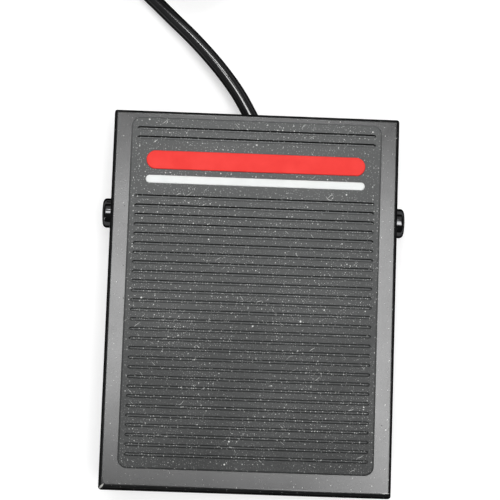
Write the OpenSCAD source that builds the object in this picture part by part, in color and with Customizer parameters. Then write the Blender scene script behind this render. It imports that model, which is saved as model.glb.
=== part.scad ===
// Compact sustain pedal for a keyboard: a folded steel cover with a grooved rubber tread,
// hinged on a steel tray that holds the return spring, the snap switch and the cord.
// X runs across the pedal, Y from the toe end (minus) to the cord (plus), Z up.
// The origin is on the floor under the middle of the pedal.

/* [Cover] */
// Width over the side skirts
cover_w = 76.3; // [60:0.1:100]
// Length over the front and rear skirts
cover_l = 100.5; // [80:0.5:140]
// Depth of the skirts below the top face
cover_h = 19; // [15:0.5:28]
// Thickness of the cover and tray sheet
sheet = 1.2; // [0.8:0.1:1.4]
// Outer radius of the cover's side and rear folds
fold_r = 1; // [0.6:0.1:4]
// Outer radius of the cover's fold at the toe
toe_r = 1.8; // [1:0.1:5]
// Outer radius of the folds of the tray and the bracket
bend_r = 1.6; // [1.5:0.1:4]
// Slope of the cover when nobody presses it, in degrees
rest_tilt = 5; // [3:0.5:6]
// Width of the cord notch in the rear skirt
notch_w = 12; // [10:0.5:20]
// Height of the cord notch above the skirt's lower edge
notch_h = 10.4; // [9:0.1:13]

/* [Tread mat] */
// Width of the mat
mat_w = 66.6; // [50:0.1:90]
// Length of the mat
mat_l = 92.4; // [70:0.1:130]
// Thickness of the mat
mat_t = 1.8; // [1.2:0.1:3]
// Radius of the mat's corners
mat_r = 2.5; // [1:0.1:8]
// Radius of the mat's top edge
mat_edge_r = 0.5; // [0.2:0.1:1]
// Distance from the rear skirt to the mat
mat_back = 2.1; // [1.6:0.1:6]
// Distance from one groove to the next
groove_pitch = 2.5; // [1.5:0.1:5]
// Width of a groove at the top
groove_w = 0.9; // [0.4:0.1:2]
// Width of a groove's floor
groove_floor = 0.4; // [0.2:0.1:2]
// Depth of a groove
groove_d = 0.7; // [0.3:0.1:1.2]
// Margin between a groove's end and the mat's side
groove_margin = 1.6; // [0.5:0.1:6]
// Grooves behind the plain band
rear_grooves = 2; // [0:1:6]
// Grooves in front of the plain band
main_grooves = 28; // [10:1:40]
// Distance from the mat's rear edge to its first groove
first_groove = 2.6; // [1:0.1:6]
// Distance from the mat's rear edge to the first groove past the plain band
band_end = 20.8; // [12:0.1:30]

/* [Stripes] */
// Length of both stripes
stripe_l = 58; // [30:1:62]
// Width of the red stripe
red_w = 5; // [2:0.1:8]
// Width of the white stripe
white_w = 2.2; // [1:0.1:5]
// Space between the stripes
stripe_gap = 1.6; // [0.6:0.1:4]
// Height of the stripes above the mat
stripe_proud = 0.5; // [0.2:0.1:1]
// Depth of the pockets that hold the stripes
stripe_seat = 0.4; // [0.2:0.1:0.8]

/* [Pivot] */
// Distance from the rear skirt to the pivot axis
pivot_back = 27; // [20:0.5:40]
// Depth of the pivot axis below the top face
pivot_drop = 8.5; // [7.5:0.5:12]
// Height of the pivot axis above the floor
pivot_z = 14.2; // [14:0.1:18]
// Diameter of a pivot screw's head
head_d = 8; // [6:0.5:10]
// Height of a pivot screw's head
head_h = 2.4; // [2:0.1:4]
// Diameter of a pivot screw's shank
shank_d = 4; // [3:0.5:5]
// Outer diameter of the sleeves that the cover turns on
sleeve_d = 6; // [5:0.5:7]

/* [Tray] */
// Thickness of the rubber sole
sole_t = 2; // [1:0.5:4]
// Height of the front wall above the floor
front_wall_z = 13.2; // [8:0.1:16]
// Height of the side walls above the floor
side_wall_z = 11.5; // [8:0.1:14]
// Height of the rear wall above the floor
rear_wall_z = 17.5; // [14:0.1:19]
// Radius of the pivot ears
ear_r = 6; // [4.5:0.1:6.8]
// Space between a tray side wall and the cover's skirt
side_gap = 0.4; // [0.3:0.1:1]
// Space between the tray's front wall and the pressed cover
front_gap = 0.8; // [0.5:0.1:2]
// Space between the tray's rear wall and the pressed cover
rear_gap = 2.6; // [1.5:0.1:4]

/* [Spring] */
// Diameter of the spring wire
wire_d = 1.3; // [0.8:0.1:2]
// Diameter of the spring at the middle of its wire
spring_d = 11.2; // [8:0.1:14]
// Curls of the spring
spring_curls = 6.5; // [4:0.5:10]
// Distance from the pivot axis to the spring
spring_reach = 46.6; // [35:0.1:60]

/* [Switch] */
// Length of the snap switch
switch_l = 19.8; // [15:0.1:28]
// Width of the snap switch
switch_w = 6.4; // [5:0.1:10]
// Height of the snap switch
switch_h = 10.2; // [8:0.1:16]
// Thickness of the switch's cap
cap_t = 1; // [0.6:0.1:2]
// Height of the switch's underside above the floor
switch_z = 8; // [7:0.1:9]
// Distance from the pivot axis to the striker
striker_reach = 30; // [25:0.5:35]
// Distance from the pivot axis to the lever's pin
lever_pin_reach = 17.6; // [15:0.1:20]
// Slope of the lever at rest, in degrees
lever_tilt = 12.17; // [8:0.01:15]
// Distance from the lever's pin to the plunger
plunger_reach = 4.5; // [3:0.1:6]

/* [Cord] */
// Diameter of the cord
cord_d = 4; // [3:0.1:6]
// Height of the cord inside the pedal
cord_z = 8.4; // [8:0.1:9.5]
// Place of the cord clamp across the pedal
saddle_x = 3.8; // [0:0.1:8]
// Middle of the coil across the pedal
coil_x = -24; // [-40:1:0]
// Middle of the coil behind the pedal
coil_y = 118; // [116:1:140]
// Radius of the coil at the middle of its turns
coil_mid_r = 22.5; // [20:0.5:26]
// Turns in one layer of the coil
layer_turns = 3; // [2:1:5]
// Layers of the coil
layers = 4; // [2:2:4]
// Distance from one turn to the next
turn_pitch = 4.55; // [4.5:0.05:6]
// Part of a turn that the coil runs on after its last layer
last_turn = 0.125; // [0:0.025:0.25]

/* [Plug] */
// Diameter of the plug's metal sleeve
plug_d = 6.35; // [3.5:0.05:6.35]
// Length of the plug's metal sleeve
plug_sleeve_l = 22; // [14:0.5:24]
// Length of the plug's tip
plug_tip_l = 7.3; // [5:0.1:9]
// Diameter of the plug's handle
handle_d = 11; // [9:0.5:14]
// Length of the plug's handle
handle_l = 28; // [20:1:40]
// Length of the plug's tapered boot
boot_l = 14; // [8:1:20]

/* [Output] */
// Sub-part to draw

/* [Hidden] */
$fn = 48;

satin_black = [0.10, 0.10, 0.10];
rubber_grey = [0.28, 0.29, 0.29];
gloss_black = [0.04, 0.04, 0.04];
stripe_red = [0.86, 0.16, 0.14];
stripe_white = [0.92, 0.94, 0.93];
zinc_steel = [0.66, 0.67, 0.68];
brass_tone = [0.78, 0.62, 0.30];
nylon_white = [0.86, 0.85, 0.80];
case_black = [0.12, 0.12, 0.13];

// Small clearances and the least radius inside a fold
run_gap = 0.05;
seat_gap = 0.02;
least_r = 0.1;
over = 1;

// Cover places, measured from the pivot axis
cover_mid = pivot_back - cover_l / 2;
cover_front = cover_l - pivot_back;
skirt_drop = cover_h - pivot_drop;
under_plate = pivot_drop - sheet;
mat_rear = pivot_back - mat_back;
mat_mid = mat_rear - mat_l / 2;
band_mid = mat_rear - (first_groove + (rear_grooves - 1) * groove_pitch + groove_w + band_end) / 2;
stripes_w = red_w + stripe_gap + white_w;
red_y = band_mid + (stripes_w - red_w) / 2;
white_y = band_mid - (stripes_w - white_w) / 2;

// The pivot's place along Y, which puts the origin under the middle of the tilted cover
front_reach = cover_front * cos(rest_tilt) + skirt_drop * sin(rest_tilt);
rear_reach = (pivot_back - fold_r) * cos(rest_tilt) + (pivot_drop - fold_r) * sin(rest_tilt) + fold_r;
pivot_y = (front_reach - rear_reach) / 2;

// Tray places
tray_w = cover_w - 2 * sheet - 2 * side_gap;
tray_front = pivot_y - (cover_front - sheet - front_gap);
tray_rear = pivot_y + pivot_back - sheet - rear_gap;
tray_l = tray_rear - tray_front;
tray_mid = (tray_front + tray_rear) / 2;
tray_z = sole_t + sheet;
tray_top = pivot_z + ear_r + over;
wall_return = 5;
sleeve_l = side_gap + sheet + 0.2;
head_x = tray_w / 2 + sleeve_l;
nut_t = 3.2;
nut_flats = 7;

// Spring places
spring_y = pivot_y - spring_reach;
seat_r = 8.5;
seat_floor = tray_z + 1.5;
seat_peg_r = 2;
cup_t = 1.2;
cup_boss_r = 3.8;
cup_boss_h = 4;
cup_low = pivot_z + spring_reach * sin(rest_tilt) + (under_plate - cup_t) * cos(rest_tilt)
    - (spring_d + wire_d) / 2 * tan(rest_tilt);
spring_top = cup_low - 0.1;
curl_rings = 8;

// Stops
buffer_x = 24;
buffer_y = pivot_y - 62;
buffer_r = 5.5;
buffer_peg_r = 2.5;
buffer_top = pivot_z + under_plate - run_gap;
stop_l = 50;
stop_leg = 1;
stop_grip = 2.6;
stop_rear = tray_rear - pivot_y + stop_leg;
stop_top = pivot_z - stop_rear * tan(rest_tilt) + under_plate / cos(rest_tilt) - 0.08;

// Switch places
switch_top = switch_z + switch_h;
switch_rear = pivot_y - lever_pin_reach + 1.4;
switch_mid = switch_rear - switch_l / 2;
cap_x = switch_w / 2 - cap_t;
pin_r = 0.6;
lever_t = 0.3;
lever_w = 4;
lever_l = 15;
barrel_r = 1;
lug_r = 1.1;
pin_y = pivot_y - lever_pin_reach;
pin_z = switch_top + 0.55;
plunger_r = 1;
plunger_y = pin_y - plunger_reach;
plunger_foot = switch_z + 6;
plunger_dome = 0.9;
plunger_top = pin_z + plunger_reach * tan(lever_tilt) - lever_t / 2 / cos(lever_tilt) - 0.1;
striker_r = 2.3;
striker_w = 6;
screw_span = 9.5;
switch_screw_r = 1.15;
switch_screw_z = switch_z + 2.9;
tab_pitch = 7.35;
tab_l = 3.8;
tab_w = 2.4;
tab_t = 0.5;
tab_ys = [switch_mid + tab_pitch, switch_mid, switch_mid - tab_pitch];
bracket_x = -switch_w / 2;
bracket_foot = 11;
rivet_x = bracket_x - sheet - 6;
rivet_ys = [switch_mid - 5, switch_mid + 5];
rivet_r = 1.5;

// Cord clamp and grommet
saddle_y = 22;
saddle_l = 6;
saddle_w = 21;
saddle_tab_t = 3;
saddle_screw_x = 7.5;
saddle_screw_r = 1.5;
jacket_end = saddle_y - 3.5;
grommet_z = 8.9;
grommet_w = 9;
grommet_h = 6;
grommet_wall = 0.8;
grommet_lip = 1.2;
grommet_lip_t = 1;
core_r = 0.6;

// Coil: a spiral that runs in and out, one layer above the other
coil_raise = 0.8;
coil_start = 225;
coil_rings = 24;
coil_turns = layers * layer_turns + last_turn;
coil_out_r = coil_mid_r + layer_turns * turn_pitch / 2;
coil_z = coil_raise + cord_d / 2;

function unit(v) = v / norm(v);
function smooth(u) = u <= 0 ? 0 : u >= 1 ? 1 : u * u * (3 - 2 * u);
function spiral_in(t) = t - 2 * layer_turns * floor(t / (2 * layer_turns));
function turns_in(t) = t >= layers * layer_turns ? layers * layer_turns - t
    : spiral_in(t) <= layer_turns ? spiral_in(t) : 2 * layer_turns - spiral_in(t);
function climb(t, k) = smooth((t - k * layer_turns + 0.25) * 2);
function climbs(t) = layers < 2 ? 0
    : [for (k = [1 : layers - 1]) 1] * [for (k = [1 : layers - 1]) climb(t, k)];
function coil_angle(t) = coil_start - 360 * t;
function coil_point(t) = [
    coil_x + (coil_out_r - turn_pitch * turns_in(t)) * cos(coil_angle(t)),
    coil_y + (coil_out_r - turn_pitch * turns_in(t)) * sin(coil_angle(t)),
    coil_z + turn_pitch * climbs(t)
];
function coil_way(t) = [sin(coil_angle(t)), -cos(coil_angle(t)), 0];
coil_in = coil_point(0) - cord_d * coil_way(0);
coil_out = coil_point(coil_turns) + cord_d * coil_way(coil_turns);
coil_line = concat(
    [coil_in],
    [for (i = [0 : floor(coil_turns * coil_rings)]) coil_point(i / coil_rings)],
    [coil_out]
);

// Least distance between turns, measured on the ring centres that are over half a turn apart
coil_least_gap = min([
    for (i = [0 : len(coil_line) - 1])
        for (j = [i + coil_rings / 2 : 1 : len(coil_line) - 1]) norm(coil_line[i] - coil_line[j])
]) - cord_d;
echo(coil_least_gap = coil_least_gap);

// Free stretch from the clamp, through the grommet and the notch, to the coil
lead_route = [
    [saddle_x, saddle_y + saddle_l, cord_z],
    [saddle_x, 30, cord_z],
    [saddle_x, 32, cord_z],
    [3.4, 37.2, cord_z],
    [2.3, 42.2, cord_z],
    [0.6, 47.2, 8.4],
    [-2, 52.2, 8.3],
    [-5.5, 58, 8.1],
    [-9.6, 63.4, 7.8],
    [-14.1, 68.5, 7.3],
    [-18.9, 73.4, 6.6],
    [-24.4, 78.5, 5.7],
    [-29.6, 83.4, 4.7],
    [-33.9, 87.3, 3.7],
    coil_in - 1.5 * cord_d * coil_way(0),
    coil_in - 0.75 * cord_d * coil_way(0),
    coil_in
];

// Free stretch from the coil, down to the floor and round to the plug
plug_x = -26;
plug_y = 158.5;
plug_z = handle_d / 2 + 0.1;
ring_l = 1.2;
tip_neck_r = plug_d / 2 - 0.5;
tail_route = [
    coil_out,
    coil_out + 0.75 * cord_d * coil_way(coil_turns),
    coil_out + 1.5 * cord_d * coil_way(coil_turns),
    [-52.6, 135, 16],
    [-50, 143, 14],
    [-45, 150.3, 11],
    [-38.6, 155.6, 8],
    [plug_x - 1.5 * cord_d, plug_y, plug_z],
    [plug_x - 0.75 * cord_d, plug_y, plug_z],
    [plug_x, plug_y, plug_z]
];

// Cores from the jacket to the switch tabs
function core_route(side, tab_y) = [
    [saddle_x + side * 0.9, jacket_end, cord_z],
    [saddle_x + side * 0.9, jacket_end - 1, cord_z],
    [saddle_x + side * 0.9, jacket_end - 2, cord_z],
    [saddle_x + side * 1.6, jacket_end - 6, 6.6],
    [saddle_x + side * 1.8, (jacket_end + tab_y) / 2, 5.6],
    [saddle_x + side * 0.6, tab_y + 2, 5.4],
    [1.9, tab_y, 5.4],
    [1.1, tab_y, 5.4],
    [tab_t / 2 + seat_gap, tab_y, 5.4]
];

// Centre line through route points: a smooth curve that passes through each of them
function curve_at(a, b, c, d, u) = 0.5 * (
    2 * b + (c - a) * u + (2 * a - 5 * b + 4 * c - d) * u * u + (3 * b - a - 3 * c + d) * u * u * u
);
function curve(p, steps) = let (n = len(p) - 1) concat(
    [for (i = [0 : n - 1], k = [0 : steps - 1]) curve_at(
        i == 0 ? 2 * p[0] - p[1] : p[i - 1], p[i], p[i + 1],
        i == n - 1 ? 2 * p[n] - p[n - 1] : p[i + 2], k / steps
    )],
    [p[n]]
);
function line_length(p) = [for (i = [1 : len(p) - 1]) 1]
    * [for (i = [1 : len(p) - 1]) norm(p[i] - p[i - 1])];
lead_line = curve(lead_route, 3);
tail_line = curve(tail_route, 3);
echo(cord_length = line_length(lead_line) + line_length(coil_line) + line_length(tail_line));

// Round tube along a line of ring centres that never runs upright
module tube(line, r, sides) {
    n = len(line);
    along = [for (i = [0 : n - 1]) unit(line[min(i + 1, n - 1)] - line[max(i - 1, 0)])];
    across = [for (t = along) unit(cross([0, 0, 1], t))];
    upward = [for (i = [0 : n - 1]) cross(along[i], across[i])];
    points = [
        for (i = [0 : n - 1], k = [0 : sides - 1])
            line[i] + r * (cos(360 * k / sides) * across[i] + sin(360 * k / sides) * upward[i])
    ];
    walls = [
        for (i = [0 : n - 2], k = [0 : sides - 1]) let (
            a = i * sides + k,
            b = i * sides + (k + 1) % sides
        ) each [[a, a + sides, b], [b, a + sides, b + sides]]
    ];
    first_end = [for (k = [1 : sides - 2]) [0, k, k + 1]];
    last = (n - 1) * sides;
    last_end = [for (k = [1 : sides - 2]) [last, last + k + 1, last + k]];
    polyhedron(points, concat(walls, first_end, last_end), convexity = 10);
}

// Rectangle with round corners, about its middle
module rounded_rect(w, l, r) {
    square([w - 2 * r, l], center = true);
    square([w, l - 2 * r], center = true);
    for (x = [-1, 1], y = [-1, 1])
        translate([x * (w / 2 - r), y * (l / 2 - r)]) circle(r);
}

// Slot with round ends, along X
module slot(l, w) {
    square([l - w, w], center = true);
    for (s = [-1, 1])
        translate([s * (l - w) / 2, 0]) circle(w / 2);
}

// Section with two round shoulders, hanging below its top edge
module shoulders(w, h, left_r, right_r) {
    translate([left_r - w / 2, -h]) square([w - left_r - right_r, h]);
    for (side = [[-1, left_r], [1, right_r]])
        translate([side[0] * (w / 2 - side[1]), -side[1]]) {
            circle(side[1]);
            translate([-side[1], side[1] - h]) square([2 * side[1], h - side[1]]);
        }
}

// Block hanging below the XY plane, with round upright corners, sides, front and rear
module pan_block(w, l, h, corner_r, side_r, front_r, rear_r) {
    intersection() {
        translate([0, 0, -h]) linear_extrude(h) rounded_rect(w, l, corner_r);
        rotate([90, 0, 0]) linear_extrude(l + 2 * over, center = true) shoulders(w, h, side_r, side_r);
        rotate([90, 0, 90]) linear_extrude(w + 2 * over, center = true) shoulders(l, h, front_r, rear_r);
    }
}

// Folded pan of sheet metal: the block, less a smaller one
module folded_pan(w, l, h, side_r, front_r) {
    in_r = max(side_r - sheet, least_r);
    in_front_r = max(front_r - sheet, least_r);
    difference() {
        pan_block(w, l, h, side_r, side_r, front_r, side_r);
        translate([0, 0, -sheet])
            pan_block(w - 2 * sheet, l - 2 * sheet, h, in_r, in_r, in_front_r, in_r);
    }
}

// Cylinder along X, from one place to another
module rod_x(r, x0, x1, sides = $fn) {
    translate([x0, 0, 0]) rotate([0, 90, 0]) cylinder(r = r, h = x1 - x0, $fn = sides);
}

// Puts a piece that is drawn round the pivot axis at the cover's rest slope
module on_cover() {
    translate([0, pivot_y, pivot_z]) rotate([-rest_tilt, 0, 0]) children();
}

module pedal_cover() {
    color(satin_black) on_cover() difference() {
        translate([0, cover_mid, pivot_drop]) folded_pan(cover_w, cover_l, cover_h, fold_r, toe_r);
        rod_x(sleeve_d / 2 + run_gap, -cover_w, cover_w);
        translate([0, pivot_back + over, notch_h - skirt_drop - notch_w / 2]) rotate([90, 0, 0])
            linear_extrude(sheet + 2 * over) {
                circle(notch_w / 2);
                translate([-notch_w / 2, -cover_h]) square([notch_w, cover_h]);
            }
    }
}

module tread_mat() {
    color(rubber_grey) on_cover() difference() {
        translate([0, mat_mid, pivot_drop + mat_t])
            pan_block(mat_w, mat_l, mat_t, mat_r, mat_edge_r, mat_edge_r, mat_edge_r);
        for (i = [0 : rear_grooves - 1]) groove(first_groove + i * groove_pitch);
        for (i = [0 : main_grooves - 1]) groove(band_end + i * groove_pitch);
        stripe_pocket(red_y, red_w);
        stripe_pocket(white_y, white_w);
    }
}

// Groove with sloping sides, whose rear edge is at a distance from the mat's rear edge
module groove(back) {
    flare = (groove_w - groove_floor) / 2 * over / groove_d;
    translate([0, mat_rear - back - groove_w / 2, pivot_drop + mat_t]) rotate([90, 0, 90])
        linear_extrude(mat_w - 2 * groove_margin, center = true) polygon([
            [-groove_floor / 2, -groove_d],
            [groove_floor / 2, -groove_d],
            [groove_w / 2 + flare, over],
            [-groove_w / 2 - flare, over]
        ]);
}

// Pocket in the mat that holds a stripe
module stripe_pocket(y, w) {
    translate([0, y, pivot_drop + mat_t - stripe_seat]) linear_extrude(over) slot(stripe_l, w);
}

module red_stripe() {
    color(stripe_red) stripe(red_y, red_w);
}

module white_stripe() {
    color(stripe_white) stripe(white_y, white_w);
}

// Raised stripe in its pocket in the mat
module stripe(y, w) {
    on_cover() translate([0, y, pivot_drop + mat_t - stripe_seat])
        linear_extrude(stripe_seat + stripe_proud) slot(stripe_l - 2 * seat_gap, w - 2 * seat_gap);
}

module spring_cup() {
    color(zinc_steel) on_cover() translate([0, -spring_reach, under_plate]) mirror([0, 0, 1]) {
        cylinder(r = seat_r - 0.5, h = cup_t);
        cylinder(r = cup_boss_r, h = cup_t + cup_boss_h - 1);
        translate([0, 0, cup_t + cup_boss_h - 1]) cylinder(r1 = cup_boss_r, r2 = cup_boss_r - 1, h = 1);
    }
}

module striker() {
    color(nylon_white) on_cover() translate([0, -striker_reach, under_plate]) difference() {
        rod_x(striker_r, -striker_w / 2, striker_w / 2);
        translate([-striker_w, -2 * striker_r, 0]) cube([2 * striker_w, 4 * striker_r, 2 * striker_r]);
    }
}

// Outline of the tray's walls seen from the side
module wall_outline() {
    translate([tray_front, 0]) square([tray_l, side_wall_z]);
    translate([tray_front, 0]) square([wall_return, front_wall_z]);
    translate([tray_rear - wall_return, 0]) square([wall_return, rear_wall_z]);
    translate([pivot_y - ear_r, 0]) square([2 * ear_r, pivot_z]);
    translate([pivot_y, pivot_z]) circle(ear_r);
}

module base_tray() {
    color(satin_black) difference() {
        intersection() {
            translate([0, tray_mid, sole_t]) mirror([0, 0, 1])
                folded_pan(tray_w, tray_l, tray_top - sole_t, bend_r, bend_r);
            rotate([90, 0, 90]) linear_extrude(cover_w, center = true) wall_outline();
        }
        translate([0, pivot_y, pivot_z]) rod_x(shank_d / 2 + 0.1, -cover_w, cover_w);
        translate([0, tray_rear + over, grommet_z]) rotate([90, 0, 0]) linear_extrude(sheet + 2 * over)
            slot(grommet_w + 2 * grommet_wall, grommet_h + 2 * grommet_wall);
        floor_hole(0, spring_y, seat_peg_r + seat_gap);
        for (s = [-1, 1]) floor_hole(s * buffer_x, buffer_y, buffer_peg_r + seat_gap);
        for (y = rivet_ys) floor_hole(rivet_x, y, rivet_r + seat_gap);
        for (s = [-1, 1])
            floor_hole(saddle_x + s * saddle_screw_x, saddle_y + saddle_l / 2, saddle_screw_r + seat_gap);
    }
}

// Hole through the tray's floor
module floor_hole(x, y, r) {
    translate([x, y, sole_t - over]) cylinder(r = r, h = sheet + 2 * over);
}

module sole_pad() {
    sole_margin = bend_r + 0.3;
    tread_count = 10;
    tread_pitch = 7;
    tread_w = 2;
    tread_d = 0.8;
    color(rubber_grey) difference() {
        translate([0, tray_mid, 0]) linear_extrude(sole_t)
            rounded_rect(tray_w - 2 * sole_margin, tray_l - 2 * sole_margin, 4);
        for (i = [0 : tread_count - 1])
            translate([0, tray_mid + (i - (tread_count - 1) / 2) * tread_pitch, -over])
                linear_extrude(tread_d + over) slot(tray_w - 16, tread_w);
    }
}

// Draws a piece of the right-hand pivot again on the left
module both_sides() {
    for (s = [0, 1]) mirror([s, 0, 0]) translate([0, pivot_y, pivot_z]) children();
}

// Round head with a rounded shoulder, standing on the XY plane
module round_head(r, h, shoulder) {
    rotate_extrude() {
        square([r, h - shoulder]);
        square([r - shoulder, h]);
        translate([r - shoulder, h - shoulder]) intersection() {
            circle(shoulder);
            square(shoulder);
        }
    }
}

// Round head with a cross recess
module pan_head(r, h, shoulder, recess_l, recess_w, recess_d) {
    difference() {
        round_head(r, h, shoulder);
        for (a = [0, 90])
            rotate(a) translate([-recess_l / 2, -recess_w / 2, h - recess_d])
                cube([recess_l, recess_w, recess_d + over]);
    }
}

module pivot_screws() {
    shank_end = tray_w / 2 - sheet - nut_t - 0.6;
    color(gloss_black) both_sides() {
        translate([head_x, 0, 0]) rotate([0, 90, 0]) pan_head(head_d / 2, head_h, 1.3, 4.4, 1, 1.5);
        rod_x(shank_d / 2, shank_end, head_x);
    }
}

module pivot_sleeves() {
    color(brass_tone) both_sides() difference() {
        rod_x(sleeve_d / 2, tray_w / 2, head_x);
        rod_x(shank_d / 2 + run_gap, tray_w / 2 - over, head_x + over);
    }
}

module weld_nuts() {
    nut_x = tray_w / 2 - sheet;
    color(zinc_steel) both_sides() difference() {
        rod_x(nut_flats / 2 / cos(30), nut_x - nut_t, nut_x, 6);
        rod_x(shank_d / 2 + seat_gap, nut_x - nut_t - over, nut_x + over);
    }
}

module return_spring() {
    low = seat_floor + wire_d / 2;
    high = spring_top - wire_d / 2;
    rings = spring_curls * curl_rings;
    line = [
        for (i = [0 : rings]) [
            spring_d / 2 * cos(360 * i / curl_rings),
            spring_y + spring_d / 2 * sin(360 * i / curl_rings),
            low + (high - low) * i / rings
        ]
    ];
    echo(spring_least_gap = (high - low) / spring_curls - wire_d);
    color(zinc_steel) tube(line, wire_d / 2, 6);
}

module spring_seat() {
    rim_t = 1.4;
    color(nylon_white) translate([0, spring_y, 0]) {
        translate([0, 0, sole_t]) cylinder(r = seat_peg_r, h = sheet);
        translate([0, 0, tray_z]) cylinder(r = seat_r, h = seat_floor - tray_z);
        translate([0, 0, seat_floor]) difference() {
            cylinder(r = seat_r, h = 2.5);
            translate([0, 0, -over]) cylinder(r = seat_r - rim_t, h = 2.5 + 2 * over);
        }
        translate([0, 0, seat_floor]) cylinder(r = spring_d / 2 - wire_d / 2 - 0.5, h = 3);
    }
}

module press_buffers() {
    color(rubber_grey) for (s = [-1, 1]) translate([s * buffer_x, buffer_y, 0]) {
        translate([0, 0, sole_t]) cylinder(r = buffer_peg_r, h = sheet);
        translate([0, 0, tray_z]) cylinder(r1 = buffer_r, r2 = buffer_r - 1.2, h = buffer_top - tray_z);
    }
}

module return_stop() {
    color(rubber_grey) difference() {
        translate([-stop_l / 2, tray_rear - sheet - stop_leg, rear_wall_z - stop_grip])
            cube([stop_l, sheet + 2 * stop_leg, stop_top - rear_wall_z + stop_grip]);
        translate([-stop_l, tray_rear - sheet, rear_wall_z - stop_grip - over])
            cube([2 * stop_l, sheet, stop_grip + over]);
    }
}

// Switch housing seen from the side, with the lug that holds the lever's pin
module switch_side() {
    difference() {
        union() {
            translate([switch_rear - switch_l, switch_z]) square([switch_l, switch_h]);
            translate([pin_y - lug_r, switch_z]) square([2 * lug_r, pin_z - switch_z]);
            translate([pin_y, pin_z]) circle(lug_r);
        }
        for (s = [-1, 1])
            translate([switch_mid + s * screw_span / 2, switch_screw_z]) circle(switch_screw_r + run_gap);
        translate([pin_y, pin_z]) circle(pin_r + seat_gap);
    }
}

// Slab between two places along X, cut to a side view
module side_slab(x0, x1) {
    translate([x0, 0, 0]) rotate([90, 0, 90]) linear_extrude(x1 - x0) children();
}

module switch_case() {
    lug_t = 0.9;
    color(case_black) difference() {
        side_slab(-switch_w / 2, cap_x) switch_side();
        translate([0, plunger_y, plunger_foot]) cylinder(r = plunger_r + run_gap, h = switch_h);
        translate([lug_t - switch_w / 2, pin_y - 2, switch_top - 1.2]) cube([switch_w, 6, 4]);
        for (y = tab_ys) switch_tab_slot(y);
    }
}

module switch_cap() {
    color(case_black) side_slab(cap_x, switch_w / 2) switch_side();
}

// Room for a solder tab in the switch's underside
module switch_tab_slot(y) {
    translate([-tab_t / 2 - seat_gap, y - tab_w / 2 - seat_gap, switch_z - over])
        cube([tab_t + 2 * seat_gap, tab_w + 2 * seat_gap, 1.5 + over]);
}

module switch_terminals() {
    color(brass_tone) for (y = tab_ys) difference() {
        translate([-tab_t / 2, y - tab_w / 2, switch_z - tab_l]) cube([tab_t, tab_w, tab_l + 1.5]);
        translate([0, y, switch_z - tab_l + 0.9]) rod_x(0.4, -over, over);
    }
}

module switch_lever() {
    color(zinc_steel) translate([0, pin_y, pin_z]) rotate([-lever_tilt, 0, 0]) difference() {
        union() {
            rod_x(barrel_r, -lever_w / 2, lever_w / 2);
            translate([-lever_w / 2, -lever_l, -lever_t / 2]) cube([lever_w, lever_l, lever_t]);
        }
        rod_x(pin_r + run_gap, -lever_w, lever_w);
    }
}

module lever_pin() {
    color(zinc_steel) translate([0, pin_y, pin_z]) rod_x(pin_r, -switch_w / 2, switch_w / 2);
}

module switch_plunger() {
    push_room = 1.6;
    color(stripe_red) translate([0, plunger_y, plunger_foot + push_room])
        round_head(plunger_r, plunger_top - plunger_foot - push_room, plunger_dome);
}

module switch_bracket() {
    leg_h = 11.5;
    leg_l = 18;
    color(zinc_steel) difference() {
        translate([0, switch_mid + leg_l / 2, 0]) rotate([90, 0, 0]) linear_extrude(leg_l) {
            translate([bracket_x - sheet, tray_z + bend_r]) square([sheet, leg_h - bend_r]);
            translate([bracket_x - bracket_foot, tray_z]) square([bracket_foot - bend_r, sheet]);
            translate([bracket_x - bend_r, tray_z + bend_r]) difference() {
                intersection() {
                    circle(bend_r);
                    translate([0, -bend_r]) square(bend_r);
                }
                circle(bend_r - sheet);
            }
        }
        for (s = [-1, 1])
            translate([0, switch_mid + s * screw_span / 2, switch_screw_z])
                rod_x(switch_screw_r + run_gap, bracket_x - sheet - over, bracket_x + over);
        for (y = rivet_ys)
            translate([rivet_x, y, tray_z - over]) cylinder(r = rivet_r + seat_gap, h = sheet + 2 * over);
    }
}

module switch_screws() {
    color(zinc_steel) for (s = [-1, 1]) translate([0, switch_mid + s * screw_span / 2, switch_screw_z]) {
        translate([switch_w / 2, 0, 0]) rotate([0, 90, 0]) pan_head(2.1, 1.5, 0.6, 2.4, 0.5, 0.8);
        rod_x(switch_screw_r, bracket_x - sheet - 2.2, switch_w / 2);
    }
}

module switch_nuts() {
    nut_x = bracket_x - sheet;
    color(zinc_steel) for (s = [-1, 1]) translate([0, switch_mid + s * screw_span / 2, switch_screw_z])
        difference() {
            rod_x(2.3, nut_x - 1.6, nut_x, 6);
            rod_x(switch_screw_r + seat_gap, nut_x - 1.6 - over, nut_x + over);
        }
}

module bracket_rivets() {
    color(zinc_steel) for (y = rivet_ys) translate([rivet_x, y, 0]) {
        translate([0, 0, sole_t]) cylinder(r = rivet_r, h = 2 * sheet);
        translate([0, 0, tray_z + sheet]) round_head(2.8, 1.4, 1.1);
    }
}

module cord_saddle() {
    arch_r = cord_d / 2 + 2.2;
    color(nylon_white) difference() {
        translate([saddle_x, saddle_y + saddle_l, 0]) rotate([90, 0, 0]) linear_extrude(saddle_l) {
            translate([-saddle_w / 2, tray_z]) square([saddle_w, saddle_tab_t]);
            translate([-arch_r, tray_z]) square([2 * arch_r, cord_z - tray_z]);
            translate([0, cord_z]) circle(arch_r);
        }
        translate([saddle_x, saddle_y - over, cord_z]) rotate([-90, 0, 0])
            cylinder(r = cord_d / 2 + seat_gap, h = saddle_l + 2 * over);
        for (s = [-1, 1])
            translate([saddle_x + s * saddle_screw_x, saddle_y + saddle_l / 2, tray_z - over])
                cylinder(r = saddle_screw_r + 0.1, h = saddle_tab_t + 2 * over);
    }
}

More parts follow.
